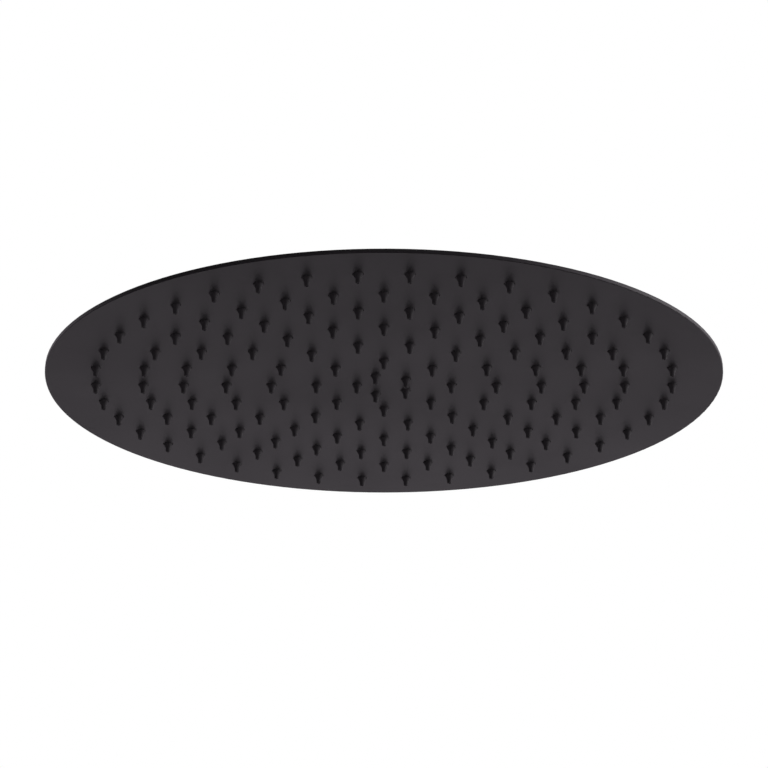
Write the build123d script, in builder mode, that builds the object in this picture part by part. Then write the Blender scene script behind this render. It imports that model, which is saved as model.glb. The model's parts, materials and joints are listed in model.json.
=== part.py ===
from build123d import *
from itertools import accumulate
from math import acos, asin, cos, radians, sin, sqrt
import os

# A slim round rain shower head that hangs from a female pipe thread. Lengths are in millimetres.
# The origin is the centre of the inlet socket's mouth, +Z is up, and everything hangs below it:
# the hex inlet with its ball, the hub and collar nut that hold the ball, and the flat spray head.

os.makedirs("parts", exist_ok=True)

# Spray head: a spray plate with an upturned rim, closed by a shallow dome
head_diameter = 300.0
face_sheet = 0.7  # thickness of the spray plate
back_sheet = 0.7  # thickness of the domed back
rim_gap = 0.4  # space between the two sheets at the rim
rim_edge_radius = 0.3  # lower edge, drawn round
rim_top_radius = 0.15  # upper edge, only broken
skirt_bend_radius = 0.2  # inside of the bend where the back turns down into the rim
seam_clearance = 0.05
rim_land = 6.0  # flat margin of the back, inside the rim
head_depth = 9.5  # underside of the spray plate to the flat under the hub
dome_crown = 1.3  # how far the dome bulges over a straight cone
dome_bend_radius = 20.0  # soft bend from the flat margin into the dome
land_margin = 3.0  # flat left showing round the hub flange

# Nozzles: rings of soft mouldings, each pushed out through its hole and held inside by its flange
edge_margin = 22.0  # outer ring to the edge of the head
ring_steps = (12.0, 18.0, 20.0, 20.0, 19.0, 18.0, 21.0)  # spacing from the centre outwards
ring_counts = (5, 8, 14, 20, 26, 32, 38)
ring_starts = (36.0, 0.0, 0.0, 0.0, 0.0, 0.0, 0.0)  # angle of each ring's first nozzle
nozzle_root_radius = 2.0
nozzle_waist_radius = 1.15
nozzle_tip_radius = 1.0
nozzle_bore_radius = 0.5
nozzle_root_height = 0.4  # straight part below the plate
nozzle_cone_height = 1.7
nozzle_stem_height = 1.9
nozzle_flange_width = 0.9
nozzle_flange_thickness = 0.5
hole_clearance = 0.3  # gap left showing round each nozzle

# Tie studs between the two sheets
stud_radius = 2.5
inner_stud_count = 6
outer_stud_count = 12

# Inlet socket: female G 1/2 pipe thread in a hex
thread_major_diameter = 20.955
thread_height = 1.162
thread_depth = 9.0
relief_clearance = 0.12
hex_wall = 2.4
hex_chamfer = 1.2

# Washer, filter and flow regulator in the socket
washer_thickness = 3.0
washer_hole_radius = 5.5
washer_fit = 0.1
washer_headroom = 0.5
filter_thickness = 0.4
filter_ledge = 1.4
filter_fit = 0.1
regulator_height = 3.0
regulator_core_radius = 2.4
regulator_wall = 1.6
regulator_fit = 0.05
groove_depth = 1.9
groove_play = 0.7  # room beside the regulator's ring
ring_cord_radius = 0.8
ring_lift = 0.05
jet_radius = 0.7
jet_count = 8
socket_floor = 1.5

# Swivel ball
waterway_radius = 4.0
neck_wall = 2.5
neck_fillet = 0.8  # under the hex
ball_shoulder = 4.5  # ball radius less neck radius
ball_flat_width = 2.3  # flat round the waterway at the ball's foot
tilt_limit = 15.0  # degrees each way, about X and about Y
neck_swing_clearance = 0.7
hex_swing_clearance = 1.0

# Seat rings, with angles measured from straight down
seat_clearance = 0.1
lower_seat_thickness = 1.5
lower_seat_start = 50.0
lower_seat_span = 22.0
upper_seat_start = 98.0
upper_seat_width = 2.2

# Hub
outlet_radius = 6.9
hub_wall = 3.3
hub_floor = 1.4
flange_thickness = 2.5
flange_margin = 2.5
flange_edge_radius = 0.8
spigot_wall = 4.1
spigot_reach = 1.5
spigot_fit = 0.05

# Collar nut
collar_fit = 0.05
collar_wall = 3.4
collar_gap = 0.6
lip_thickness = 2.6
crown_width = 1.8
collar_shoulder = 1.5
shoulder_radius = 1.5
crown_edge_radius = 0.6
collar_edge_radius = 0.4
flute_count = 24
flute_radius = 1.5
flute_depth = 0.6

# Socket sizes and levels, from the mouth down
bore_radius = thread_major_diameter / 2 - thread_height
relief_radius = thread_major_diameter / 2 + relief_clearance
relief_floor = -(thread_depth + washer_thickness + washer_headroom)
groove_outer_radius = regulator_core_radius + 2 * (ring_cord_radius + groove_play)
regulator_radius = groove_outer_radius + regulator_wall
regulator_floor = relief_floor - regulator_height
hex_bottom = regulator_floor - socket_floor
hex_across_flats = 2 * (relief_radius + hex_wall)
hex_corner_radius = hex_across_flats / (2 * cos(radians(30)))
groove_middle_radius = (regulator_core_radius + groove_outer_radius) / 2
washer_top = relief_floor + washer_thickness

# Ball sizes, and the swing of the head when it tilts about X and Y together
neck_radius = waterway_radius + neck_wall
ball_radius = neck_radius + ball_shoulder
swing = acos(cos(radians(tilt_limit)) ** 2)
swing_radius = neck_radius + neck_swing_clearance


def open_radius(height):
    """Smallest opening, this far above the ball's centre, that clears the neck at full swing."""
    return (swing_radius + height * sin(swing)) / cos(swing)


# Seat ring and collar levels, measured from the ball's centre
seat_radius = ball_radius + seat_clearance
upper_seat_top = seat_radius * cos(swing + asin(swing_radius / seat_radius))
upper_seat_bottom = -seat_radius * cos(radians(upper_seat_start))
upper_seat_radius = ball_radius + upper_seat_width
collar_ceiling = upper_seat_top + seat_clearance
collar_top = collar_ceiling + lip_thickness
crown_radius = open_radius(collar_top) + crown_width
crown_swing_height = collar_top * cos(swing) + crown_radius * sin(swing)
ball_level = hex_bottom - hex_swing_clearance - crown_swing_height
ball_flat_radius = waterway_radius + ball_flat_width
ball_foot = ball_level - sqrt(ball_radius**2 - ball_flat_radius**2)

# Hub and collar sizes
cup_radius = seat_radius + lower_seat_thickness + seat_clearance
hub_radius = cup_radius + hub_wall
collar_bore_radius = hub_radius + collar_fit
collar_radius = collar_bore_radius + collar_wall
flange_radius = collar_radius + flange_margin
spigot_radius = outlet_radius + spigot_wall
hub_seat = ball_level - sqrt(cup_radius**2 - outlet_radius**2) - hub_floor
collar_foot = hub_seat + flange_thickness + collar_gap

# Spray head sizes and levels
face_bottom = hub_seat - head_depth
face_top = face_bottom + face_sheet
nozzle_end = face_bottom - nozzle_root_height - nozzle_cone_height - nozzle_stem_height
rim_top = face_top + rim_gap + back_sheet
head_radius = head_diameter / 2
back_radius = head_radius - face_sheet - seam_clearance
dome_foot = back_radius - rim_land
dome_head = flange_radius + land_margin
field_radius = head_radius - edge_margin
ring_radii = [field_radius * reach / sum(ring_steps) for reach in accumulate(ring_steps)]
nozzle_rings = list(zip(ring_radii, ring_counts, ring_starts))


def corner(profile, radius, level):
    """The corner of a turned profile that lies at this radius and level."""
    return profile.vertices().sort_by_distance((radius, level, 0))[0]


# Spray plate with its upturned rim and nozzle holes
with BuildPart() as face_plate:
    with BuildSketch(Plane.XZ) as plate_profile:
        with BuildLine():
            Polyline(
                (0, face_bottom),
                (head_radius, face_bottom),
                (head_radius, rim_top),
                (head_radius - face_sheet, rim_top),
                (head_radius - face_sheet, face_top),
                (0, face_top),
                close=True,
            )
        make_face()
        fillet(corner(plate_profile, head_radius, face_bottom), rim_edge_radius)
        fillet(corner(plate_profile, head_radius, rim_top), rim_top_radius)
    revolve(axis=Axis.Z)
    with BuildSketch(Plane.XY.offset(face_bottom)):
        for ring_radius, count, start in nozzle_rings:
            with PolarLocations(ring_radius, count, start):
                Circle(nozzle_root_radius + hole_clearance)
    extrude(amount=face_sheet, mode=Mode.SUBTRACT)
face_plate.part.label = "face_plate"
export_step(face_plate.part, "parts/face_plate.step")

# Domed back: a short skirt stands in the rim, a flat carries the hub
with BuildPart() as back_plate:
    with BuildSketch(Plane.XZ) as back_profile:
        with BuildLine():
            dome = SagittaArc((dome_head, hub_seat), (dome_foot, rim_top), dome_crown)
            Polyline(
                dome @ 0,
                (spigot_radius + spigot_fit, hub_seat),
                (spigot_radius + spigot_fit, hub_seat - back_sheet),
                (dome_head, hub_seat - back_sheet),
            )
            SagittaArc((dome_head, hub_seat - back_sheet), (dome_foot, rim_top - back_sheet), dome_crown)
            Polyline(
                (dome_foot, rim_top - back_sheet),
                (back_radius - back_sheet, rim_top - back_sheet),
                (back_radius - back_sheet, face_top),
                (back_radius, face_top),
                (back_radius, rim_top),
                dome @ 1,
            )
        make_face()
        fillet(corner(back_profile, dome_foot, rim_top), dome_bend_radius)
        fillet(corner(back_profile, dome_foot, rim_top - back_sheet), dome_bend_radius + back_sheet)
        fillet(corner(back_profile, back_radius, rim_top), skirt_bend_radius + back_sheet)
        fillet(corner(back_profile, back_radius - back_sheet, rim_top - back_sheet), skirt_bend_radius)
    revolve(axis=Axis.Z)
back_plate.part.label = "back_plate"
export_step(back_plate.part, "parts/back_plate.step")

# One nozzle, on the axis: a flange inside the plate, a root in the hole, a cone and a stem below it
with BuildPart() as nozzle:
    with BuildSketch(Plane.XZ):
        with BuildLine():
            Polyline(
                (nozzle_bore_radius, face_top + nozzle_flange_thickness),
                (nozzle_root_radius + nozzle_flange_width, face_top + nozzle_flange_thickness),
                (nozzle_root_radius + nozzle_flange_width, face_top),
                (nozzle_root_radius, face_top),
                (nozzle_root_radius, face_bottom - nozzle_root_height),
                (nozzle_waist_radius, nozzle_end + nozzle_stem_height),
                (nozzle_tip_radius, nozzle_end),
                (nozzle_bore_radius, nozzle_end),
                close=True,
            )
        make_face()
    revolve(axis=Axis.Z)

# Rings of nozzles, from the centre outwards
for number, (ring_radius, count, start) in enumerate(nozzle_rings, 1):
    with BuildPart() as nozzle_ring:
        with PolarLocations(ring_radius, count, start):
            add(nozzle.part)
    nozzle_ring.part.label = f"nozzle_ring_{number}"
    export_step(nozzle_ring.part, f"parts/nozzle_ring_{number}.step")

# Tie studs, midway between two nozzle rings and trimmed to the underside of the dome
stud_rows = (
    ("inner_tie_studs", (ring_radii[2] + ring_radii[3]) / 2, inner_stud_count),
    ("outer_tie_studs", (ring_radii[4] + ring_radii[5]) / 2, outer_stud_count),
)
for name, row_radius, count in stud_rows:
    with BuildPart() as tie_studs:
        with BuildSketch(Plane.XY.offset(face_top)):
            with PolarLocations(row_radius, count):
                Circle(stud_radius)
        extrude(amount=hub_seat - face_top)
        with BuildSketch(Plane.XZ):
            with BuildLine():
                SagittaArc(
                    (dome_head, hub_seat - back_sheet),
                    (dome_foot, rim_top - back_sheet),
                    dome_crown,
                )
                Polyline(
                    (dome_head, hub_seat - back_sheet),
                    (0, hub_seat - back_sheet),
                    (0, face_top),
                    (dome_foot, face_top),
                    (dome_foot, rim_top - back_sheet),
                )
            make_face()
        revolve(axis=Axis.Z, mode=Mode.INTERSECT)
    tie_studs.part.label = name
    export_step(tie_studs.part, f"parts/{name}.step")

# Hub: a flange on the back, a spigot through it and a spherical cup for the lower seat ring
with BuildPart() as inlet_hub:
    with BuildSketch(Plane.XZ) as hub_profile:
        with BuildLine():
            Polyline(
                (0, ball_level),
                (hub_radius, ball_level),
                (hub_radius, hub_seat + flange_thickness),
                (flange_radius, hub_seat + flange_thickness),
                (flange_radius, hub_seat),
                (spigot_radius, hub_seat),
                (spigot_radius, hub_seat - back_sheet - spigot_reach),
                (0, hub_seat - back_sheet - spigot_reach),
                close=True,
            )
        make_face()
        fillet(corner(hub_profile, flange_radius, hub_seat + flange_thickness), flange_edge_radius)
    revolve(axis=Axis.Z)
    with Locations((0, 0, ball_level)):
        Sphere(cup_radius, mode=Mode.SUBTRACT)
        Hole(outlet_radius)
inlet_hub.part.label = "inlet_hub"
export_step(inlet_hub.part, "parts/inlet_hub.step")

# Lower seat ring: a slice of a spherical shell that slides in the cup and under the ball
with BuildPart() as lower_seat_ring:
    with BuildSketch(Plane.XZ):
        with BuildLine():
            seat_inner = CenterArc(
                (0, ball_level), seat_radius, lower_seat_start - 90, lower_seat_span
            )
            seat_outer = CenterArc(
                (0, ball_level),
                seat_radius + lower_seat_thickness,
                lower_seat_start - 90,
                lower_seat_span,
            )
            Line(seat_inner @ 0, seat_outer @ 0)
            Line(seat_inner @ 1, seat_outer @ 1)
        make_face()
    revolve(axis=Axis.Z)
lower_seat_ring.part.label = "lower_seat_ring"
export_step(lower_seat_ring.part, "parts/lower_seat_ring.step")

# Upper seat ring: spherical inside, flat on top under the lip of the collar nut
with BuildPart() as upper_seat_ring:
    with BuildSketch(Plane.XZ):
        with BuildLine():
            Polyline(
                (0, ball_level + upper_seat_bottom),
                (upper_seat_radius, ball_level + upper_seat_bottom),
                (upper_seat_radius, ball_level + upper_seat_top),
                (0, ball_level + upper_seat_top),
                close=True,
            )
        make_face()
    revolve(axis=Axis.Z)
    with Locations((0, 0, ball_level)):
        Sphere(seat_radius, mode=Mode.SUBTRACT)
upper_seat_ring.part.label = "upper_seat_ring"
export_step(upper_seat_ring.part, "parts/upper_seat_ring.step")

# Collar nut: screws on the hub, and its flared lip holds the upper seat ring down
with BuildPart() as collar_nut:
    with BuildSketch(Plane.XZ) as collar_profile:
        with BuildLine():
            Polyline(
                (collar_bore_radius, collar_foot),
                (collar_radius, collar_foot),
                (collar_radius, ball_level + collar_shoulder),
                (crown_radius, ball_level + collar_top),
                (open_radius(collar_top), ball_level + collar_top),
                (open_radius(collar_ceiling), ball_level + collar_ceiling),
                (upper_seat_radius + seat_clearance, ball_level + collar_ceiling),
                (upper_seat_radius + seat_clearance, ball_level + collar_gap),
                (collar_bore_radius, ball_level + collar_gap),
                close=True,
            )
        make_face()
        fillet(corner(collar_profile, collar_radius, collar_foot), collar_edge_radius)
        fillet(corner(collar_profile, collar_radius, ball_level + collar_shoulder), shoulder_radius)
        fillet(corner(collar_profile, crown_radius, ball_level + collar_top), crown_edge_radius)
    revolve(axis=Axis.Z)
    with BuildSketch(Plane.XY.offset(collar_foot)):
        with PolarLocations(collar_radius + flute_radius - flute_depth, flute_count):
            Circle(flute_radius)
    extrude(until=Until.LAST, mode=Mode.SUBTRACT)
collar_nut.part.label = "collar_nut"
export_step(collar_nut.part, "parts/collar_nut.step")

# Swivel ball: hex with the threaded socket, a neck, and a ball cut flat at its foot
with BuildPart() as swivel_ball:
    with BuildSketch(Plane.XY):
        RegularPolygon(hex_across_flats / 2, 6, major_radius=False)
    extrude(amount=hex_bottom)
    with BuildSketch(Plane.XZ):
        with BuildLine():
            Polyline(
                (0, 0),
                (hex_across_flats / 2, 0),
                (hex_corner_radius, -hex_chamfer / 2),
                (hex_corner_radius, hex_bottom + hex_chamfer / 2),
                (hex_across_flats / 2, hex_bottom),
                (0, hex_bottom),
                close=True,
            )
        make_face()
    revolve(axis=Axis.Z, mode=Mode.INTERSECT)
    with BuildSketch(Plane.XZ):
        with BuildLine():
            neck_flare = CenterArc(
                (neck_radius + neck_fillet, hex_bottom - neck_fillet), neck_fillet, 90, 90
            )
            neck_side = Line(
                neck_flare @ 1,
                (neck_radius, ball_level + sqrt(ball_radius**2 - neck_radius**2)),
            )
            ball_side = ThreePointArc(
                neck_side @ 1,
                (ball_radius, ball_level),
                (ball_flat_radius, ball_foot),
            )
            Polyline(ball_side @ 1, (0, ball_foot), (0, hex_bottom), neck_flare @ 0)
        make_face()
    revolve(axis=Axis.Z)
    with BuildSketch(Plane.XZ):
        with BuildLine():
            Polyline(
                (0, 0),
                (bore_radius, 0),
                (bore_radius, -thread_depth),
                (relief_radius, -thread_depth),
                (relief_radius, relief_floor),
                (regulator_radius + regulator_fit, relief_floor),
                (regulator_radius + regulator_fit, regulator_floor),
                (waterway_radius, regulator_floor),
                (waterway_radius, ball_foot),
                (0, ball_foot),
                close=True,
            )
        make_face()
    revolve(axis=Axis.Z, mode=Mode.SUBTRACT)
swivel_ball.part.label = "swivel_ball"
export_step(swivel_ball.part, "parts/swivel_ball.step")

# Flow regulator: a plug with a ring groove on top and jets through the groove's floor
with BuildPart() as flow_regulator:
    with BuildSketch(Plane.XY.offset(regulator_floor)):
        Circle(regulator_radius)
    extrude(amount=regulator_height)
    with BuildSketch(Plane.XY.offset(relief_floor)):
        Circle(groove_outer_radius)
        Circle(regulator_core_radius, mode=Mode.SUBTRACT)
    extrude(amount=-groove_depth, mode=Mode.SUBTRACT)
    with BuildSketch(Plane.XY.offset(regulator_floor)):
        with PolarLocations(groove_middle_radius, jet_count):
            Circle(jet_radius)
    extrude(amount=regulator_height, mode=Mode.SUBTRACT)
flow_regulator.part.label = "flow_regulator"
export_step(flow_regulator.part, "parts/flow_regulator.step")

# Rubber ring that rides in the regulator's groove
with BuildPart() as regulator_ring:
    with Locations((0, 0, relief_floor - groove_depth + ring_lift + ring_cord_radius)):
        Torus(groove_middle_radius, ring_cord_radius)
regulator_ring.part.label = "regulator_ring"
export_step(regulator_ring.part, "parts/regulator_ring.step")

# Washer on the socket's floor, with a ledge for the filter in its upper edge
with BuildPart() as inlet_washer:
    with BuildSketch(Plane.XY.offset(relief_floor)):
        Circle(bore_radius - washer_fit)
    extrude(amount=washer_thickness)
    with Locations((0, 0, washer_top)):
        CounterBoreHole(washer_hole_radius, washer_hole_radius + filter_ledge, filter_thickness)
inlet_washer.part.label = "inlet_washer"
export_step(inlet_washer.part, "parts/inlet_washer.step")

# Filter screen: a plain disc on the washer's ledge, without the openings of its weave
with BuildPart() as filter_screen:
    with BuildSketch(Plane.XY.offset(washer_top - filter_thickness)):
        Circle(washer_hole_radius + filter_ledge - filter_fit)
    extrude(amount=filter_thickness)
filter_screen.part.label = "filter_screen"
export_step(filter_screen.part, "parts/filter_screen.step")
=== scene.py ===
# %% [markdown]
# # A slim rain shower head
# The part is an overhead shower head: a thin round plate with rings of soft nozzles, a shallow
# dome behind it, and a swivel inlet on top. The CAD model already holds every piece at its real
# place, so this lesson only dresses it: it gives each surface a finish, rounds what the eye sees
# close up, cuts the inlet's thread, weaves its filter screen, and sets a camera and light.
# Everything below is in metres, in the CAD model's frame.

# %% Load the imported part
import json
import math

import bmesh
import bpy
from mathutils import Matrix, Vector


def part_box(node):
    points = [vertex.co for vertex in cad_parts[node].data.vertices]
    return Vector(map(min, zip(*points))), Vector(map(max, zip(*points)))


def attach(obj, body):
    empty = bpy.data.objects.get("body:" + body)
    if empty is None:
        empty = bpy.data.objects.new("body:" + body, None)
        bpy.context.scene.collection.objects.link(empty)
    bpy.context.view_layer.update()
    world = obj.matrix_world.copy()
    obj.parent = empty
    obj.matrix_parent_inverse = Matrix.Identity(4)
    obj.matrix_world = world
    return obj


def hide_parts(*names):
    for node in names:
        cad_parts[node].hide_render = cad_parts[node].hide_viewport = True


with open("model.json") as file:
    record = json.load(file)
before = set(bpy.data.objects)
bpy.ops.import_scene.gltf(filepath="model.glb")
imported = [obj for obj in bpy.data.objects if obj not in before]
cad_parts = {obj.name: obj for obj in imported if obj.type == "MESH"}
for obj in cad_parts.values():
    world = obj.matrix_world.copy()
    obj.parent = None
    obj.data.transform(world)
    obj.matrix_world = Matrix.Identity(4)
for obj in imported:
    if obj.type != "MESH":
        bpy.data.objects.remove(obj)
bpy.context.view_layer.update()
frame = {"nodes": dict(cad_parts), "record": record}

MM = 0.001

# %% [markdown]
# ## Where the main surfaces are
# The head hangs below the inlet, which is the origin. The spray face is the lowest flat, and the
# nozzles stand out below it. Reading these levels from the frame keeps the script true if the CAD
# model changes.

# %% Levels of the spray face
face_low, face_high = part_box("face_plate")
face_level = face_low.z
head_radius = face_high.x
face_centre = Vector((0, 0, face_level))
print(f"spray face at {face_level / MM:.2f} mm, {2 * head_radius / MM:.1f} mm across")

# %% [markdown]
# ## The camera
# The picture looks up at the head from about twenty degrees below, from a good distance, so the
# round face shows as an even ellipse. A long lens at that distance gives the same slight change of
# size from the near rim to the far one. The camera aims a hair above the centre of the face.

# %% Camera at the picture's viewing angle
CAMERA_DISTANCE = 1.392
CAMERA_BELOW = math.radians(20.64)
CAMERA_SIGHT = 100
LENS = 146.8
SENSOR = 36.0
AIM_ABOVE_FACE = 0.38 * MM


def placed(name, data):
    """A new object in the scene, at the origin, made from a mesh, a lamp or a camera."""
    thing = bpy.data.objects.new(name, data)
    bpy.context.scene.collection.objects.link(thing)
    return thing


def facing(direction):
    """The turn that points a camera or a lamp this way, upright."""
    return direction.to_track_quat("-Z", "Y").to_euler()


camera_data = bpy.data.cameras.new("camera")
camera_data.lens = LENS
camera_data.sensor_width = SENSOR
camera_data.clip_end = CAMERA_SIGHT
camera = placed("camera", camera_data)
towards_camera = Vector((0, -math.cos(CAMERA_BELOW), -math.sin(CAMERA_BELOW)))
aim = face_centre + Vector((0, 0, AIM_ABOVE_FACE))
camera.location = aim + CAMERA_DISTANCE * towards_camera
camera.rotation_euler = facing(-towards_camera)
bpy.context.scene.camera = camera
print("camera at", [round(value, 3) for value in camera.location])

# %% [markdown]
# ## Helpers for node trees
# Finishes, the world and whatever repeats are all small trees of nodes. They could be wired by
# hand in Blender's editors. Here one helper adds a node and feeds each of its inputs, either with a
# plain value or from another node, so a tree reads as a list of steps.

# %% Adding a node and feeding its inputs
# Places of the colour sockets on a Mix node, whose names it shares with other kinds
COLOUR_FIRST = 6
COLOUR_SECOND = 7
COLOUR_RESULT = 2

WHITE = (1, 1, 1)
BLACK = (0, 0, 0)


def feed(tree, socket, value):
    """Gives a socket a plain value, or links it to the output that the value is."""
    if isinstance(value, bpy.types.NodeSocket):
        tree.links.new(value, socket)
    else:
        socket.default_value = value


def add_node(tree, kind, inputs, **settings):
    """Adds a node of this kind. Its inputs are fed by name or by place."""
    node = tree.nodes.new(kind)
    for setting, value in settings.items():
        setattr(node, setting, value)
    for socket, value in inputs.items():
        feed(tree, node.inputs[socket], value)
    return node


def result_of(tree, kind, inputs, **settings):
    """The first output of a new node of this kind."""
    return add_node(tree, kind, inputs, **settings).outputs[0]


def worked_out(tree, operation, *values):
    """A sum, product or the like of these values, each of which is a number or an output."""
    return result_of(tree, "ShaderNodeMath", dict(enumerate(values)), operation=operation)


def vector_of(tree, x, y, z):
    """A vector from three values, each of which is a number or an output."""
    return result_of(tree, "ShaderNodeCombineXYZ", {"X": x, "Y": y, "Z": z})


def mapped(tree, value, start, end, low, high, course="LINEAR"):
    """Carries a value from the range start to end over to the range low to high."""
    inputs = {"Value": value, "From Min": start, "From Max": end, "To Min": low, "To Max": high}
    return result_of(tree, "ShaderNodeMapRange", inputs, interpolation_type=course)


def blend(tree, share, first, second):
    """A colour that goes from first to second as share goes from 0 to 1."""
    inputs = {"Factor": share, COLOUR_FIRST: (*first, 1), COLOUR_SECOND: (*second, 1)}
    return add_node(tree, "ShaderNodeMix", inputs, data_type="RGBA").outputs[COLOUR_RESULT]


def distance_from_axis(tree, place):
    """How far a place is from the vertical axis through the origin."""
    flat = result_of(tree, "ShaderNodeVectorMath", {0: place, 1: (1, 1, 0)}, operation="MULTIPLY")
    return add_node(tree, "ShaderNodeVectorMath", {0: flat}, operation="LENGTH").outputs["Value"]


# %% [markdown]
# ## Floor, world and light
# A shower head hangs about two metres up, so the floor lies that far below it and the camera fits
# between. A matte black coat shows mostly what it mirrors at a low angle. White beyond the floor
# gives the face its soft grey, and a dark card hung below the head makes that grey fade towards the
# near rim. Dark cloths on the near and left sides keep the near rim black. The cloths and the card
# are there for reflections only, so the camera doesn't see them. The floor could end in a hard line
# against the white world; instead it turns white to the eye towards its edge.


# %% Sheets for the studio
def plain_material(name, grey, roughness):
    """An even matte grey for the studio itself."""
    material = bpy.data.materials.new(name)
    material.use_nodes = True
    shader = material.node_tree.nodes["Principled BSDF"]
    shader.inputs["Base Color"].default_value = (grey, grey, grey, 1)
    shader.inputs["Roughness"].default_value = roughness
    return material


def sheet_object(name, corners, material):
    """A flat four-cornered sheet, which isn't part of the object."""
    mesh = bpy.data.meshes.new(name)
    mesh.from_pydata(corners, [], [(0, 1, 2, 3)])
    mesh.materials.append(material)
    sheet = placed(name, mesh)
    return sheet


def level_sheet(name, half_width, near, far, height, material):
    """A sheet that lies flat at this height, as far to the left as to the right."""
    near_side = [(-half_width, near, height), (half_width, near, height)]
    far_side = [(half_width, far, height), (-half_width, far, height)]
    return sheet_object(name, near_side + far_side, material)


def hanging_sheet(name, start, end, bottom, top, material):
    """A sheet that hangs along the line from start to end."""
    corners = [(*start, bottom), (*end, bottom), (*end, top), (*start, top)]
    return sheet_object(name, corners, material)


# %% Floor
FLOOR_DROP = 2.25
FLOOR_HALF = 3.5
FLOOR_GREY = 0.8
FLOOR_ROUGHNESS = 0.9
FLOOR_LIFT = 0.5
FADE_START = 1.0


def floor_material():
    """A pale matte floor that turns white to the eye, and only to the eye, towards its edge."""
    material = plain_material("pale floor", FLOOR_GREY, FLOOR_ROUGHNESS)
    tree = material.node_tree
    shader = tree.nodes["Principled BSDF"]
    place = tree.nodes.new("ShaderNodeTexCoord").outputs["Object"]
    eye = tree.nodes.new("ShaderNodeLightPath").outputs["Is Camera Ray"]
    fade = mapped(tree, distance_from_axis(tree, place), FADE_START, FLOOR_HALF, 0, 1, "SMOOTHSTEP")
    eye_fade = worked_out(tree, "MULTIPLY", fade, eye)
    glow = worked_out(tree, "MULTIPLY", mapped(tree, fade, 0, 1, FLOOR_LIFT, 1), eye)
    floor_grey = (FLOOR_GREY, FLOOR_GREY, FLOOR_GREY)
    feed(tree, shader.inputs["Base Color"], blend(tree, eye_fade, floor_grey, BLACK))
    feed(tree, shader.inputs["Emission Color"], (*WHITE, 1))
    feed(tree, shader.inputs["Emission Strength"], glow)
    return material


floor_level = face_level - FLOOR_DROP
level_sheet("studio_floor", FLOOR_HALF, -FLOOR_HALF, FLOOR_HALF, floor_level, floor_material())
print("floor at", round(floor_level, 3))

# %% Dark cloths and a card, seen in reflections only
CLOTH_NEAR = -2.4
CLOTH_LEFT = -2.4
CLOTH_RIGHT = 2.4
CLOTH_FAR = 0.9
CLOTH_BOTTOM = face_level - 0.05
CLOTH_TOP = 6.0
CLOTH_GREY = 0.004
CARD_LEVEL = face_level - 0.45
CARD_HALF_WIDTH = 2.0
CARD_NEAR = -0.6
CARD_FAR = 0.75
CARD_GREY = 0.05
DULL = 1.0

black_cloth = plain_material("black cloth", CLOTH_GREY, DULL)
grey_card = plain_material("dark grey card", CARD_GREY, DULL)
near_left = (CLOTH_LEFT, CLOTH_NEAR)
near_right = (CLOTH_RIGHT, CLOTH_NEAR)
far_left = (CLOTH_LEFT, CLOTH_FAR)
dark_sheets = [
    hanging_sheet("cloth_near", near_left, near_right, CLOTH_BOTTOM, CLOTH_TOP, black_cloth),
    hanging_sheet("cloth_left", near_left, far_left, CLOTH_BOTTOM, CLOTH_TOP, black_cloth),
    level_sheet("card_below", CARD_HALF_WIDTH, CARD_NEAR, CARD_FAR, CARD_LEVEL, grey_card),
]
for sheet in dark_sheets:
    sheet.visible_camera = False
    sheet.visible_shadow = False
    sheet.visible_diffuse = False
print("dark sheets:", [sheet.name for sheet in dark_sheets])

# %% [markdown]
# The world is white to the eye. Mirrors and glass show that white too, with a touch of violet, which
# is the cast that the black coat has in the picture. Everything else gets a calm grey from it, so
# that the lamps do the lighting. A large soft box hangs overhead. Two panels stand on the right: the
# higher one runs along the rim, and the lower one edges each nozzle. The lower one could stand close
# by; it stands well back, so that it lights the left of the face about as much as the right.

# %% World
SKY_TO_EYE = 1.0
SKY_TO_SURFACES = 0.25
MIRRORED_SKY = (1.0, 0.92, 1.0)

world = bpy.data.worlds.new("studio")
bpy.context.scene.world = world
world.use_nodes = True
sky = world.node_tree
sky.nodes.clear()
ray = sky.nodes.new("ShaderNodeLightPath").outputs
mirrored = worked_out(sky, "MAXIMUM", ray["Is Glossy Ray"], ray["Is Transmission Ray"])
seen = worked_out(sky, "MAXIMUM", mirrored, ray["Is Camera Ray"])
sky_light = {
    "Color": blend(sky, mirrored, WHITE, MIRRORED_SKY),
    "Strength": mapped(sky, seen, 0, 1, SKY_TO_SURFACES, SKY_TO_EYE),
}
background = result_of(sky, "ShaderNodeBackground", sky_light)
add_node(sky, "ShaderNodeOutputWorld", {"Surface": background})
print("world: white to the eye,", SKY_TO_SURFACES, "to matte surfaces")

# %% Lamps
CEILING_PLACE = Vector((0, 0, 1.8))
CEILING_SIZE = 2.8
CEILING_LEVEL = 0.6
RIM_PANEL_PLACE = Vector((2.2, 0.2, 0.8))
RIM_PANEL_SIZE = 2.2
RIM_PANEL_LEVEL = 2.4
LOW_PANEL_PLACE = Vector((3.8, 0.8, -1.3))
LOW_PANEL_SIZE = 2.7
LOW_PANEL_LEVEL = 4.6


def soft_box(name, place, direction, size, level):
    """A square light of this size that faces this way. Level 1 looks as bright as white paper."""
    data = bpy.data.lights.new(name, "AREA")
    data.size = size
    data.energy = math.pi * level * size**2
    box = placed(name, data)
    box.location = place
    box.rotation_euler = facing(direction)
    box.visible_camera = False
    return box


straight_down = Vector((0, 0, -1))
straight_left = Vector((-1, 0, 0))
lamps = [
    soft_box("ceiling_box", CEILING_PLACE, straight_down, CEILING_SIZE, CEILING_LEVEL),
    soft_box("rim_panel", RIM_PANEL_PLACE, straight_left, RIM_PANEL_SIZE, RIM_PANEL_LEVEL),
    soft_box("low_panel", LOW_PANEL_PLACE, face_centre - LOW_PANEL_PLACE, LOW_PANEL_SIZE, LOW_PANEL_LEVEL),
]
bpy.context.scene.view_settings.view_transform = "Standard"
print("lamps:", [lamp.name for lamp in lamps])

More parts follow.
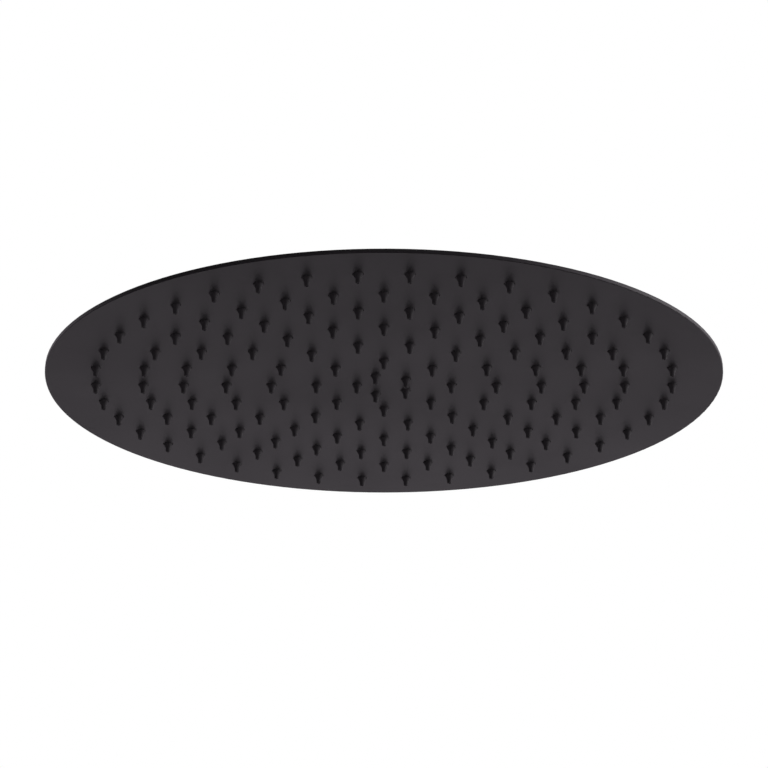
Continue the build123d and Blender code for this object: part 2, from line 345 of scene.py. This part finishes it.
# %% [markdown]
# ## The matte black coat
# The sheet steel is coated matte black. Close up such a coat has a very fine grain, and its sheen
# drifts a little over the plate. Both come from noise on object coordinates: a grain a few tenths
# of a millimetre wide feeds a faint bump, and a slow cloud moves the roughness and the colour. The
# turned brass has a coat of the same kind over the fine rings that a lathe leaves, and there it
# also rounds sharp edges a little. Modelling that would cost many faces, so a Bevel node in the
# material shades it.

# %% Noise, bumps and soft edges
NOISE_LOW = 0.3
NOISE_HIGH = 0.7
GRAIN_DETAIL = 2
GRAIN_STRENGTH = 0.3
EDGE_SAMPLES = 6


def new_finish(name):
    """A new material with its tree, its shader and the piece's own coordinates."""
    material = bpy.data.materials.new(name)
    material.use_nodes = True
    tree = material.node_tree
    coordinates = tree.nodes.new("ShaderNodeTexCoord").outputs["Object"]
    return material, tree, tree.nodes["Principled BSDF"], coordinates


def noise_value(tree, coordinates, feature, detail):
    """Noise whose features are about this many metres wide."""
    inputs = {"Vector": coordinates, "Scale": 1 / feature, "Detail": detail}
    return result_of(tree, "ShaderNodeTexNoise", inputs)


def spread(tree, value, low, high):
    """Turns noise, which stays near the middle of 0 to 1, into a number between low and high."""
    return mapped(tree, value, NOISE_LOW, NOISE_HIGH, low, high)


def bump_from(tree, shader, height, strength, depth):
    """A bump of this depth, in metres, on top of any that the shader has already."""
    inputs = {"Height": height, "Strength": strength, "Distance": depth}
    normal = shader.inputs["Normal"]
    if normal.is_linked:
        inputs["Normal"] = normal.links[0].from_socket
    feed(tree, normal, result_of(tree, "ShaderNodeBump", inputs))


def fine_grain(tree, shader, coordinates, width, depth):
    """A grain of this width and depth all over the surface."""
    grain = noise_value(tree, coordinates, width, GRAIN_DETAIL)
    bump_from(tree, shader, grain, GRAIN_STRENGTH, depth)


def soft_edges(tree, shader, radius):
    """Shades sharp edges as if they were rounded to this radius, as a coat leaves them."""
    rounded = result_of(tree, "ShaderNodeBevel", {"Radius": radius}, samples=EDGE_SAMPLES)
    feed(tree, shader.inputs["Normal"], rounded)


# %% The coat on sheet steel and on turned brass
COAT_SHINE = 0.245
COAT_TINT = (1.0, 0.92, 1.0)
COAT_GRAIN_DEPTH = 0.01 * MM
CLOUD_WIDTH = 60 * MM
CLOUD_DETAIL = 3
EDGE_ROUND = 0.3 * MM
MARK_WIDTH = 0.25 * MM
MARK_DETAIL = 2
MARK_STRENGTH = 1.0


def turning_marks(tree, coordinates):
    """Noise that stays the same all the way round the axis, as the marks of a lathe do."""
    height = add_node(tree, "ShaderNodeSeparateXYZ", {"Vector": coordinates}).outputs["Z"]
    place = vector_of(tree, distance_from_axis(tree, coordinates), 0, height)
    return noise_value(tree, place, MARK_WIDTH, MARK_DETAIL)


def coated_finish(name, dark, light, roughness, grain, marks_depth=0):
    """A matte coat. Grain is the width of its fine texture, and its sheen drifts between two values."""
    material, tree, shader, coordinates = new_finish(name)
    cloud = noise_value(tree, coordinates, CLOUD_WIDTH, CLOUD_DETAIL)
    feed(tree, shader.inputs["Base Color"], blend(tree, spread(tree, cloud, 0, 1), dark, light))
    feed(tree, shader.inputs["Roughness"], spread(tree, cloud, *roughness))
    shader.inputs["Specular IOR Level"].default_value = COAT_SHINE
    shader.inputs["Specular Tint"].default_value = (*COAT_TINT, 1)
    if marks_depth:
        soft_edges(tree, shader, EDGE_ROUND)
        bump_from(tree, shader, turning_marks(tree, coordinates), MARK_STRENGTH, marks_depth)
    fine_grain(tree, shader, coordinates, grain, COAT_GRAIN_DEPTH)
    return material


sheet_coat = coated_finish(
    "matte black sheet",
    dark=(0.0098, 0.0087, 0.0098),
    light=(0.0122, 0.0108, 0.0122),
    roughness=(0.53, 0.57),
    grain=0.5 * MM,
)
turned_coat = coated_finish(
    "matte black brass",
    dark=(0.012, 0.0105, 0.012),
    light=(0.016, 0.014, 0.016),
    roughness=(0.40, 0.48),
    grain=0.4 * MM,
    marks_depth=0.02 * MM,
)
print("coats:", sheet_coat.name, "and", turned_coat.name)

# %% [markdown]
# ## Silicone, rubber, plastic and bare steel
# The nozzles are black silicone, softer and duller than the coat. Inside the inlet and the ball
# joint sit a rubber washer, white sliding rings, a plastic flow regulator and bare steel. A faint
# mottle in colour and sheen keeps each of them from looking like flat paint.

# %% Moulded pieces and bare steel
MOTTLE_WIDTH = 4 * MM
MOTTLE_DETAIL = 2
STEEL_MOTTLE_WIDTH = 0.3 * MM
STEEL_MOTTLE_DETAIL = 4


def mottle(tree, shader, noise, dark, light, roughness):
    """Lets noise move a finish's colour from dark to light, and its sheen with it."""
    share = spread(tree, noise, 0, 1)
    feed(tree, shader.inputs["Base Color"], blend(tree, share, dark, light))
    feed(tree, shader.inputs["Roughness"], spread(tree, share, *roughness))


def moulded_finish(name, dark, light, roughness, grain, grain_depth, specular):
    """Moulded rubber or plastic: a faint mottle and a fine grain."""
    material, tree, shader, coordinates = new_finish(name)
    noise = noise_value(tree, coordinates, MOTTLE_WIDTH, MOTTLE_DETAIL)
    mottle(tree, shader, noise, dark, light, roughness)
    shader.inputs["Specular IOR Level"].default_value = specular
    fine_grain(tree, shader, coordinates, grain, grain_depth)
    return material


def steel_finish(name, dark, light, roughness):
    """Bare stainless steel, with a fine mottle in its colour and sheen."""
    material, tree, shader, coordinates = new_finish(name)
    noise = noise_value(tree, coordinates, STEEL_MOTTLE_WIDTH, STEEL_MOTTLE_DETAIL)
    mottle(tree, shader, noise, dark, light, roughness)
    shader.inputs["Metallic"].default_value = 1.0
    return material


# %% The soft and inner finishes
silicone = moulded_finish(
    "black silicone",
    dark=(0.021, 0.0178, 0.021),
    light=(0.027, 0.023, 0.027),
    roughness=(0.67, 0.77),
    grain=0.3 * MM,
    grain_depth=0.01 * MM,
    specular=0.22,
)
seal_rubber = moulded_finish(
    "seal rubber",
    dark=(0.012, 0.012, 0.012),
    light=(0.02, 0.02, 0.02),
    roughness=(0.6, 0.75),
    grain=0.2 * MM,
    grain_depth=0.01 * MM,
    specular=0.4,
)
seat_plastic = moulded_finish(
    "white seat plastic",
    dark=(0.72, 0.71, 0.67),
    light=(0.79, 0.78, 0.74),
    roughness=(0.35, 0.45),
    grain=0.3 * MM,
    grain_depth=0.005 * MM,
    specular=0.5,
)
regulator_plastic = moulded_finish(
    "grey regulator plastic",
    dark=(0.46, 0.48, 0.49),
    light=(0.53, 0.55, 0.56),
    roughness=(0.4, 0.5),
    grain=0.3 * MM,
    grain_depth=0.005 * MM,
    specular=0.5,
)
bare_steel = steel_finish(
    "bare steel",
    dark=(0.50, 0.50, 0.49),
    light=(0.56, 0.56, 0.54),
    roughness=(0.26, 0.32),
)
inner_finishes = [silicone, seal_rubber, seat_plastic, regulator_plastic, bare_steel]
print("soft and inner finishes:", [finish.name for finish in inner_finishes])

# %% Finishes on the CAD pieces that keep their own shape
FINISH_OF_SLOT = {
    "black_sheet_steel": sheet_coat,
    "black_turned_brass": turned_coat,
    "black_silicone": silicone,
    "bare_steel": bare_steel,
    "white_seat_plastic": seat_plastic,
    "seal_rubber": seal_rubber,
    "regulator_plastic": regulator_plastic,
}
for subpart in frame["record"]["subparts"]:
    node = frame["nodes"][subpart["node"]]
    node.data.materials.clear()
    node.data.materials.append(FINISH_OF_SLOT[subpart["material_slot"]])

# %% [markdown]
# ## The nozzles
# Each nozzle is one small silicone moulding, pushed out through its hole from inside the plate: a
# flange holds it there, a root stands in the hole with a little room round it, and a cone narrows
# to a short stem with the jet in its tip. It could be modelled in place for every hole, but the
# nozzles repeat, so one turned mesh is copied round each ring by Geometry Nodes. The ring's radius,
# count and first angle are read from the CAD node.

# %% Turning a mesh from a profile
SHARP_ANGLE = math.radians(35)


def turn_between(first, last, span):
    """The vector that is this share of the way round from first to last."""
    angle = first.angle(last)
    return (first * math.sin((1 - span) * angle) + last * math.sin(span * angle)) / math.sin(angle)


def arc_corner(before, corner, after, radius, steps):
    """Points of a round of this radius, in place of a corner of a profile."""
    corner = Vector(corner)
    back = (Vector(before) - corner).normalized()
    ahead = (Vector(after) - corner).normalized()
    half_turn = back.angle(ahead) / 2
    middle = corner + (back + ahead).normalized() * radius / math.sin(half_turn)
    first = corner + back * radius / math.tan(half_turn) - middle
    last = corner + ahead * radius / math.tan(half_turn) - middle
    spans = [step / steps for step in range(steps + 1)]
    return [tuple(middle + turn_between(first, last, span)) for span in spans]


def turned_mesh(name, profile, segments):
    """A closed profile of (radius, height) points turned about the vertical axis."""
    mesh = bpy.data.meshes.new(name)
    shape = bmesh.new()
    rings = []
    for step in range(segments):
        angle = 2 * math.pi * step / segments
        places = [(r * math.cos(angle), r * math.sin(angle), z) for r, z in profile]
        rings.append([shape.verts.new(place) for place in places])
    for step, ring in enumerate(rings):
        following = rings[(step + 1) % segments]
        for row in range(len(profile)):
            upper = (row + 1) % len(profile)
            shape.faces.new((ring[row], following[row], following[upper], ring[upper]))
    bmesh.ops.recalc_face_normals(shape, faces=shape.faces)
    for face in shape.faces:
        face.smooth = True
    shape.to_mesh(mesh)
    shape.free()
    mesh.set_sharp_from_angle(angle=SHARP_ANGLE)
    return mesh


# %% One nozzle
NOZZLE_SEGMENTS = 12
BORE_RADIUS = 0.5 * MM
FLANGE_RADIUS = 2.9 * MM
FLANGE_THICKNESS = 0.5 * MM
SHEET = 0.7 * MM
ROOT_RADIUS = 2.0 * MM
ROOT_HEIGHT = 0.4 * MM
WAIST_RADIUS = 1.15 * MM
CONE_HEIGHT = 1.7 * MM
TIP_RADIUS = 1.0 * MM
TIP_ROUND = 0.1 * MM
TIP_ROUND_STEPS = 2

tip_drop = face_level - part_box("nozzle_ring_1")[0].z
stem_side = (WAIST_RADIUS, face_level - ROOT_HEIGHT - CONE_HEIGHT)
tip_edge = (TIP_RADIUS, face_level - tip_drop)
tip_inner = (BORE_RADIUS, face_level - tip_drop)
nozzle_profile = [
    (BORE_RADIUS, face_level + SHEET + FLANGE_THICKNESS),
    (FLANGE_RADIUS, face_level + SHEET + FLANGE_THICKNESS),
    (FLANGE_RADIUS, face_level + SHEET),
    (ROOT_RADIUS, face_level + SHEET),
    (ROOT_RADIUS, face_level - ROOT_HEIGHT),
    stem_side,
    *arc_corner(stem_side, tip_edge, tip_inner, TIP_ROUND, TIP_ROUND_STEPS),
    tip_inner,
]
nozzle_mesh = turned_mesh("nozzle", nozzle_profile, NOZZLE_SEGMENTS)
print("one nozzle has", len(nozzle_mesh.polygons), "faces")


# %% The tree that copies a nozzle round its ring
def new_tree(name, inputs, output):
    """An empty Geometry Nodes tree with these named inputs and one named output."""
    tree = bpy.data.node_groups.new(name, "GeometryNodeTree")
    for label, kind in inputs.items():
        tree.interface.new_socket(label, in_out="INPUT", socket_type=f"NodeSocket{kind}")
    tree.interface.new_socket(output, in_out="OUTPUT", socket_type="NodeSocketGeometry")
    return tree


def end_tree(tree, geometry, finish, output):
    """Ends a tree: its copies are made real, get a finish and go to the output."""
    real = result_of(tree, "GeometryNodeRealizeInstances", {"Geometry": geometry})
    painted = result_of(tree, "GeometryNodeSetMaterial", {"Geometry": real, "Material": finish})
    add_node(tree, "NodeGroupOutput", {output: painted})


def ring_tree():
    """Geometry Nodes: copies of the object's own mesh on a circle, made real and given a finish."""
    inputs = {
        "Nozzle": "Geometry",
        "Count": "Int",
        "Ring radius": "Float",
        "First angle": "Float",
        "Finish": "Material",
    }
    tree = new_tree("ring of nozzles", inputs, "Ring")
    given = tree.nodes.new("NodeGroupInput").outputs
    circle_size = {"Vertices": given["Count"], "Radius": given["Ring radius"]}
    circle = result_of(tree, "GeometryNodeMeshCircle", circle_size)
    turn = vector_of(tree, 0, 0, given["First angle"])
    places = result_of(tree, "GeometryNodeTransform", {"Geometry": circle, "Rotation": turn})
    nozzles = {"Points": places, "Instance": given["Nozzle"]}
    copies = result_of(tree, "GeometryNodeInstanceOnPoints", nozzles)
    end_tree(tree, copies, given["Finish"], "Ring")
    return tree


def grow(piece, tree, sizes):
    """Runs a tree on a piece with these named inputs, and keeps the result as its plain mesh."""
    modifier = piece.modifiers.new(tree.name, "NODES")
    modifier.node_group = tree
    for socket in tree.interface.items_tree:
        if socket.in_out == "INPUT" and socket.name in sizes:
            modifier[socket.identifier] = sizes[socket.name]
    evaluated = piece.evaluated_get(bpy.context.evaluated_depsgraph_get())
    mesh = bpy.data.meshes.new_from_object(evaluated)
    piece.modifiers.remove(modifier)
    piece.data = mesh


nozzle_tree = ring_tree()
print("tree:", nozzle_tree.name, "with", len(nozzle_tree.nodes), "nodes")

# %% The rings, laid out as the CAD nodes are
TIP_SLICE = 0.02 * MM
SAME_TIP = 2.5 * TIP_RADIUS


def ring_layout(node_name):
    """Radius, count and first angle of a ring of nozzles, from where the CAD tips are."""
    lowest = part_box(node_name)[0].z
    tips = [v.co for v in frame["nodes"][node_name].data.vertices if v.co.z < lowest + TIP_SLICE]
    groups = []
    for tip in tips:
        for group in groups:
            if (group[0].xy - tip.xy).length < SAME_TIP:
                group.append(tip)
                break
        else:
            groups.append([tip])
    centres = [(Vector(map(min, zip(*group))) + Vector(map(max, zip(*group)))) / 2 for group in groups]
    radius = sum(centre.xy.length for centre in centres) / len(centres)
    angles = [math.atan2(centre.y, centre.x) for centre in centres]
    return radius, len(centres), min(angles, key=abs)


ring_names = sorted(name for name in frame["nodes"] if name.startswith("nozzle_ring"))
for name in ring_names:
    radius, count, first_angle = ring_layout(name)
    piece = placed(f"silicone_{name}", nozzle_mesh.copy())
    layout = {"Count": count, "Ring radius": radius, "First angle": first_angle, "Finish": silicone}
    grow(piece, nozzle_tree, layout)
    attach(piece, "head")
    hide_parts(name)
    start = math.degrees(first_angle)
    print(f"{name}: {count} nozzles at {radius / MM:.2f} mm, first at {start:.1f} degrees")

# %% [markdown]
# ## The thread in the inlet
# The head screws on a shower arm by a female G 1/2 thread, fourteen turns to the inch. The CAD model
# has a plain bore at the thread's inner radius. A bump on that wall would look flat at the mouth,
# because the grooves are over a millimetre deep. So the wall is taken out of a copy of the piece, and
# a grooved one is sewn in between its two edges. The grooves run out at both ends. All the other
# faces keep the shading that they had in the CAD mesh.

# %% The shape of the thread
INCH = 25.4 * MM
TURNS_PER_INCH = 14
THREAD_PITCH = INCH / TURNS_PER_INCH
GROOVE_DEPTH = 1.162 * MM
GROOVE_RUNOUT = 0.9 * MM

socket_size = frame["record"]["mounts"][0]["dims"]
socket_radius = socket_size["r_mm"] * MM
socket_depth = socket_size["length_mm"] * MM


def groove_radius(angle, height):
    """How far the threaded wall lies from the axis at this angle and height."""
    runout = min(1, -height / GROOVE_RUNOUT, (height + socket_depth) / GROOVE_RUNOUT)
    turns = height / THREAD_PITCH - angle / (2 * math.pi)
    return socket_radius + GROOVE_DEPTH * runout * (0.5 - 0.5 * math.cos(2 * math.pi * turns))


print(f"thread: {socket_depth / THREAD_PITCH:.1f} turns, {GROOVE_DEPTH / MM:.2f} mm deep")

# %% Sewing the grooved wall in
ROWS_PER_TURN = 16
SAME_PLACE = 0.001 * MM
ON_WALL = 0.02 * MM
BETWEEN_COLUMNS = 0.01


def angle_of(vertex):
    """The angle of a vertex about the axis."""
    return math.atan2(vertex.co.y, vertex.co.x)


def turn_of(vertex):
    """That angle, counted from a line that passes between the columns of vertices."""
    return (angle_of(vertex) - BETWEEN_COLUMNS) % (2 * math.pi)


def on_socket_wall(vertex):
    """Whether a vertex lies on the plain wall of the socket."""
    in_depth = -socket_depth - ON_WALL < vertex.co.z < ON_WALL
    return in_depth and abs(vertex.co.xy.length - socket_radius) < ON_WALL


def groove_row(shape, columns, height):
    """A row of new vertices on the grooves at this height, one in line with each column."""
    row = []
    for column in columns:
        angle = angle_of(column)
        reach = groove_radius(angle, height)
        row.append(shape.verts.new((reach * math.cos(angle), reach * math.sin(angle), height)))
    return row


def sew_thread(shape):
    """Takes the plain wall out of the socket and sews a grooved one in. Returns its faces."""
    wall_vertices = {vertex for vertex in shape.verts if on_socket_wall(vertex)}
    wall = [face for face in shape.faces if wall_vertices.issuperset(face.verts)]
    bmesh.ops.delete(shape, geom=wall, context="FACES")
    middle = -socket_depth / 2
    upper = sorted((vertex for vertex in wall_vertices if vertex.co.z > middle), key=turn_of)
    lower = sorted((vertex for vertex in wall_vertices if vertex.co.z < middle), key=turn_of)
    row_count = round(socket_depth / THREAD_PITCH * ROWS_PER_TURN)
    heights = [-socket_depth * step / row_count for step in range(1, row_count)]
    rows = [upper, *(groove_row(shape, upper, height) for height in heights), lower]
    faces = []
    for above, below in zip(rows, rows[1:]):
        for place in range(len(upper)):
            after = (place + 1) % len(upper)
            faces.append(shape.faces.new((above[place], above[after], below[after], below[place])))
    return faces


# %% The threaded inlet
WORKED_OUT_ANEW = (0, 0, 0)


def kept_normals(mesh, source):
    """The shading of each corner: as in source where the face comes from there, else worked out anew."""
    normals = []
    for face, origin in zip(mesh.polygons, mesh.attributes["origin"].data):
        if origin.value == 0:
            normals += [WORKED_OUT_ANEW] * face.loop_total
            continue
        corners = source.polygons[origin.value - 1].loop_indices
        places = {corner: source.vertices[source.loops[corner].vertex_index].co for corner in corners}
        for vertex in face.vertices:
            here = mesh.vertices[vertex].co
            nearest = min(corners, key=lambda corner: (places[corner] - here).length)
            normals.append(tuple(source.corner_normals[nearest].vector))
    return normals


plain_inlet = frame["nodes"]["swivel_ball"].data
shape = bmesh.new()
shape.from_mesh(plain_inlet)
origin_layer = shape.faces.layers.int.new("origin")
for face in shape.faces:
    face[origin_layer] = face.index + 1
bmesh.ops.remove_doubles(shape, verts=shape.verts, dist=SAME_PLACE)
thread_faces = set(sew_thread(shape))
for face in thread_faces:
    face.smooth = True
    for edge in face.edges:
        edge.smooth = thread_faces.issuperset(edge.link_faces)
threaded_mesh = bpy.data.meshes.new("threaded_inlet")
shape.to_mesh(threaded_mesh)
shape.free()
threaded_mesh.normals_split_custom_set(kept_normals(threaded_mesh, plain_inlet))
threaded_mesh.attributes.remove(threaded_mesh.attributes["origin"])
threaded_mesh.materials.clear()
threaded_mesh.materials.append(turned_coat)
threaded_inlet = placed("threaded_inlet", threaded_mesh)
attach(threaded_inlet, "inlet")
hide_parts("swivel_ball")
print("threaded inlet:", len(threaded_mesh.polygons), "faces,", len(thread_faces), "of them thread")

# %% [markdown]
# ## The filter screen
# On the washer's ledge lies a round screen, woven from fine steel wire and bound by a pressed ring.
# The CAD model has a thin plain disc. Wires that pass over and under one another catch the light
# as cloth does, so they are woven here. Each wire follows a wave, and the next one follows the
# opposite wave. Geometry Nodes lays one set of wires, turns it over for the crossing set, and joins
# both to the ring, which is the piece's own mesh.


# %% One set of wires
def straight_lines(tree, sizes):
    """Lines from x -1 to 1, side by side at the pitch, each with points enough to bend."""
    half_count = worked_out(tree, "MULTIPLY", worked_out(tree, "SUBTRACT", sizes["Wires"], 1), -0.5)
    first_place = worked_out(tree, "MULTIPLY", half_count, sizes["Pitch"])
    row = {
        "Count": sizes["Wires"],
        "Start Location": vector_of(tree, 0, first_place, 0),
        "Offset": vector_of(tree, 0, sizes["Pitch"], 0),
    }
    starts = result_of(tree, "GeometryNodeMeshLine", row)
    ends = {"Start": (-1, 0, 0), "End": (1, 0, 0)}
    line = result_of(tree, "GeometryNodeCurvePrimitiveLine", ends)
    points = {"Curve": line, "Count": sizes["Points per wire"]}
    fine_line = result_of(tree, "GeometryNodeResampleCurve", points)
    lines = {"Points": starts, "Instance": fine_line}
    copies = result_of(tree, "GeometryNodeInstanceOnPoints", lines)
    return result_of(tree, "GeometryNodeRealizeInstances", {"Geometry": copies})


def waved_place(tree, sizes):
    """Where a point of such a line goes: out to the reach, and up or down its wave."""
    position = tree.nodes.new("GeometryNodeInputPosition").outputs["Position"]
    split = add_node(tree, "ShaderNodeSeparateXYZ", {"Vector": position}).outputs
    across = split["Y"]
    reach_squared = worked_out(tree, "MULTIPLY", sizes["Reach"], sizes["Reach"])
    left_over = worked_out(tree, "SUBTRACT", reach_squared, worked_out(tree, "MULTIPLY", across, across))
    along = worked_out(tree, "MULTIPLY", split["X"], worked_out(tree, "SQRT", left_over))
    wave_number = worked_out(tree, "DIVIDE", math.pi, sizes["Pitch"])
    wave_along = worked_out(tree, "COSINE", worked_out(tree, "MULTIPLY", along, wave_number))
    wave_across = worked_out(tree, "COSINE", worked_out(tree, "MULTIPLY", across, wave_number))
    wave = worked_out(tree, "MULTIPLY", wave_along, wave_across)
    return vector_of(tree, along, across, worked_out(tree, "MULTIPLY", wave, sizes["Rise"]))


def waved_wires(tree, sizes):
    """Round wires along the waved lines, with closed ends."""
    place = {"Geometry": straight_lines(tree, sizes), "Position": waved_place(tree, sizes)}
    waved = result_of(tree, "GeometryNodeSetPosition", place)
    round_size = {"Resolution": sizes["Wire sides"], "Radius": sizes["Wire radius"]}
    section = result_of(tree, "GeometryNodeCurvePrimitiveCircle", round_size)
    sweep = {"Curve": waved, "Profile Curve": section, "Fill Caps": True}
    wires = result_of(tree, "GeometryNodeCurveToMesh", sweep)
    return result_of(tree, "GeometryNodeSetShadeSmooth", {"Geometry": wires})


# %% The tree that weaves them
TURNED_OVER_AND_ACROSS = (math.pi, 0, math.pi / 2)


def joined(tree, *pieces):
    """Several pieces of geometry as one."""
    join = tree.nodes.new("GeometryNodeJoinGeometry")
    for piece in pieces:
        tree.links.new(piece, join.inputs["Geometry"])
    return join.outputs["Geometry"]


def weave_tree():
    """Geometry Nodes: a plain weave of round wires, joined to the object's own ring."""
    inputs = {"Ring": "Geometry"}
    inputs |= dict.fromkeys(("Wires", "Points per wire", "Wire sides"), "Int")
    inputs |= dict.fromkeys(("Pitch", "Reach", "Rise", "Wire radius", "Level"), "Float")
    inputs |= {"Finish": "Material"}
    tree = new_tree("woven screen", inputs, "Screen")
    sizes = tree.nodes.new("NodeGroupInput").outputs
    wires = waved_wires(tree, sizes)
    turn = {"Geometry": wires, "Rotation": TURNED_OVER_AND_ACROSS}
    crossing = result_of(tree, "GeometryNodeTransform", turn)
    lift = {
        "Geometry": joined(tree, wires, crossing),
        "Translation": vector_of(tree, 0, 0, sizes["Level"]),
    }
    weave = result_of(tree, "GeometryNodeTransform", lift)
    end_tree(tree, joined(tree, sizes["Ring"], weave), sizes["Finish"], "Screen")
    return tree


screen_tree = weave_tree()
print("tree:", screen_tree.name, "with", len(screen_tree.nodes), "nodes")

# %% The screen in its ring
WEAVE_PITCH = 0.7 * MM
WIRE_RADIUS = 0.09 * MM
WIRE_SIDES = 6
WIRE_POINTS = 120
WIRE_GRIP = 0.3 * MM
RING_WIDTH = 0.9 * MM
RING_ROUND = 0.1 * MM
RING_ROUND_STEPS = 3
RING_SEGMENTS = 72

screen_low, screen_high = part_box("filter_screen")
ring_outside = screen_high.x
ring_inside = ring_outside - RING_WIDTH
ring_corners = [
    (ring_inside, screen_low.z),
    (ring_outside, screen_low.z),
    (ring_outside, screen_high.z),
    (ring_inside, screen_high.z),
]
ring_profile = []
for place, corner in enumerate(ring_corners):
    after = ring_corners[(place + 1) % len(ring_corners)]
    ring_profile += arc_corner(ring_corners[place - 1], corner, after, RING_ROUND, RING_ROUND_STEPS)
woven_screen = placed("woven_screen", turned_mesh("screen ring", ring_profile, RING_SEGMENTS))
screen_sizes = {
    "Wires": 2 * int(ring_inside / WEAVE_PITCH) + 1,
    "Points per wire": WIRE_POINTS,
    "Wire sides": WIRE_SIDES,
    "Pitch": WEAVE_PITCH,
    "Reach": ring_inside + WIRE_GRIP,
    "Rise": WIRE_RADIUS,
    "Wire radius": WIRE_RADIUS,
    "Level": (screen_low.z + screen_high.z) / 2,
    "Finish": bare_steel,
}
grow(woven_screen, screen_tree, screen_sizes)
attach(woven_screen, "inlet")
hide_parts("filter_screen")
print("woven screen:", len(woven_screen.data.polygons), "faces")
